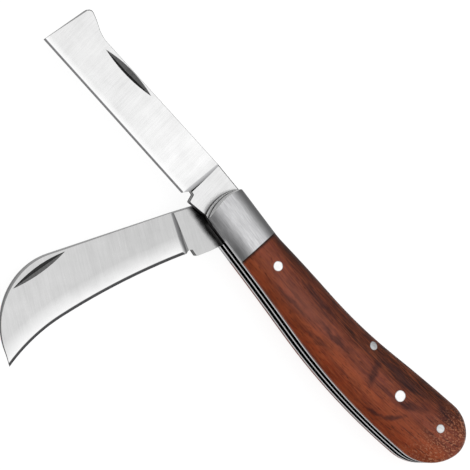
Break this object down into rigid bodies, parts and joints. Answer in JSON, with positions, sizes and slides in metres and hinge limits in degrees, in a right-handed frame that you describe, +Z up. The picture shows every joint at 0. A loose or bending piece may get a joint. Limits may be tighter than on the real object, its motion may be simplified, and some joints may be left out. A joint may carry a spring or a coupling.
{
  "type": "grafting knife",
  "caption": "Folding grafting and pruning knife: a straight blade with a bark lifter and a hooked blade, both turning on one pivot in a steel bolster, with wooden scales.",
  "frame": {"origin": "on the axis that both blades turn on, in the plane of the rear face that the knife lies on", "axes": "+X along the bolster towards the open grafting blade, +Y out of the slot that the blades fold into, +Z up out of the front scale"},
  "size_m": [0.1771, 0.1003, 0.0151],
  "materials": {
    "rosewood": "oiled and polished, with dark streaks",
    "bolster_steel": "brushed along the handle",
    "liner_steel": "fine ground edges",
    "grafting_steel": "satin, polished nearly white",
    "pruning_steel": "satin, ground across the blade",
    "spring_steel": "ground",
    "rivet_steel": "ground flush and bright"
  },
  "bodies": {
    "handle": {"front_scale": "rosewood", "rear_scale": "rosewood", "front_bolster": "bolster_steel", "rear_bolster": "bolster_steel", "front_liner": "liner_steel", "centre_liner": "liner_steel", "rear_liner": "liner_steel", "grafting_backspring": "spring_steel", "pruning_backspring": "spring_steel", "pivot_pin": "rivet_steel", "spring_pin": "rivet_steel", "butt_pin": "rivet_steel", "front_fore_rivet": "rivet_steel", "front_aft_rivet": "rivet_steel", "front_bolster_rivet": "rivet_steel", "rear_fore_rivet": "rivet_steel", "rear_aft_rivet": "rivet_steel", "rear_bolster_rivet": "rivet_steel"},
    "grafting_blade": {"grafting_blade": "grafting_steel"},
    "pruning_blade": {"pruning_blade": "pruning_steel"}
  },
  "joints": [
    {"name": "grafting_blade_hinge", "type": "hinge", "parent": "handle", "child": "grafting_blade", "pos_m": [0, 0, 0.00925], "axis": [0, 0, 1], "range_deg": [0, 177], "deforming": ["grafting_backspring"]},
    {"name": "pruning_blade_hinge", "type": "hinge", "parent": "handle", "child": "pruning_blade", "pos_m": [0, 0, 0.00585], "axis": [0, 0, 1], "range_deg": [-62.5, 110.5], "deforming": ["pruning_backspring"]}
  ]
}
